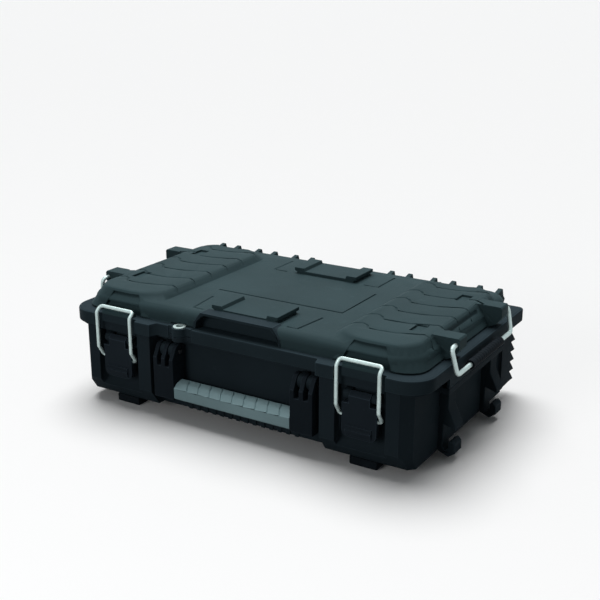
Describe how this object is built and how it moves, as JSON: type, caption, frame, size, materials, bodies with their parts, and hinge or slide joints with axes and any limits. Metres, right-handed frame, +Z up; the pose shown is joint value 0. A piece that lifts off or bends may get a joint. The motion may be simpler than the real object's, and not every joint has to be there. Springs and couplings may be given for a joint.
{
  "type": "tool case",
  "caption": "Low stackable tool case with a hinged lid, two wire draw latches, a front carry handle, wire side bails and stacking hooks.",
  "frame": {"origin": "on the floor under the middle of the case", "axes": "+X to the case's right side as seen from the front, +Y to the hinges at the rear, +Z up"},
  "size_m": [0.579, 0.3474, 0.166],
  "materials": {
    "shell": "fine moulded texture, dark blue-grey",
    "lid": "fine moulded texture, dark blue-grey",
    "black_plastic": "satin black",
    "grey_grip": "soft grey overmould",
    "black_rubber": "matt",
    "zinc_wire": "bright zinc plate",
    "pin_steel": "plain steel"
  },
  "bodies": {
    "base": {"base_shell": "shell", "stacking_hook_front_left": "shell", "stacking_hook_rear_left": "shell", "stacking_hook_front_right": "shell", "stacking_hook_rear_right": "shell", "padlock_tab_base": "shell", "hinge_pin_1": "pin_steel", "hinge_pin_2": "pin_steel", "hinge_pin_3": "pin_steel", "hinge_pin_4": "pin_steel", "hinge_pin_5": "pin_steel", "hinge_pin_6": "pin_steel", "latch_pin_left": "pin_steel", "latch_pin_right": "pin_steel", "handle_pin_left": "pin_steel", "handle_pin_right": "pin_steel", "foot_front_left": "black_rubber", "foot_rear_left": "black_rubber", "foot_front_right": "black_rubber", "foot_rear_right": "black_rubber"},
    "lid": {"lid_shell": "lid", "lid_seal": "black_rubber", "padlock_tab_lid": "shell", "padlock_eyelet_lid": "zinc_wire"},
    "latch_lever_left": {"latch_lever_left": "black_plastic"},
    "latch_wire_left": {"latch_wire_left": "zinc_wire"},
    "latch_lever_right": {"latch_lever_right": "black_plastic"},
    "latch_wire_right": {"latch_wire_right": "zinc_wire"},
    "carry_handle": {"handle_frame": "black_plastic", "handle_grip": "grey_grip"},
    "side_bail_left": {"side_bail_left": "zinc_wire", "bail_sleeve_left": "black_rubber"},
    "side_bail_right": {"side_bail_right": "zinc_wire", "bail_sleeve_right": "black_rubber"}
  },
  "joints": [
    {"name": "lid_hinge", "type": "hinge", "parent": "base", "child": "lid", "pos_m": [0, 0.164, 0.121], "axis": [-1, 0, 0], "range_deg": [0, 100]},
    {"name": "latch_lever_left_pivot", "type": "hinge", "parent": "base", "child": "latch_lever_left", "pos_m": [-0.1904, -0.158, 0.099], "axis": [-1, 0, 0], "range_deg": [0, 110]},
    {"name": "latch_wire_left_pivot", "type": "hinge", "parent": "latch_lever_left", "child": "latch_wire_left", "pos_m": [-0.1904, -0.1612, 0.072], "axis": [-1, 0, 0], "range_deg": [-110, 0]},
    {"name": "latch_lever_right_pivot", "type": "hinge", "parent": "base", "child": "latch_lever_right", "pos_m": [0.1904, -0.158, 0.099], "axis": [-1, 0, 0], "range_deg": [0, 110]},
    {"name": "latch_wire_right_pivot", "type": "hinge", "parent": "latch_lever_right", "child": "latch_wire_right", "pos_m": [0.1904, -0.1612, 0.072], "axis": [-1, 0, 0], "range_deg": [-110, 0]},
    {"name": "carry_handle_pivot", "type": "hinge", "parent": "base", "child": "carry_handle", "pos_m": [0, -0.151, 0.098], "axis": [-1, 0, 0], "range_deg": [0, 90]},
    {"name": "side_bail_left_pivot", "type": "hinge", "parent": "lid", "child": "side_bail_left", "pos_m": [-0.2759, 0, 0.1567], "axis": [0, 1, 0], "range_deg": [0, 165]},
    {"name": "side_bail_right_pivot", "type": "hinge", "parent": "lid", "child": "side_bail_right", "pos_m": [0.2759, 0, 0.1567], "axis": [0, -1, 0], "range_deg": [0, 165]}
  ],
  "couplings": [
    {"joint": "latch_wire_left_pivot", "follows": "latch_lever_left_pivot", "ratio": -1},
    {"joint": "latch_wire_right_pivot", "follows": "latch_lever_right_pivot", "ratio": -1}
  ]
}
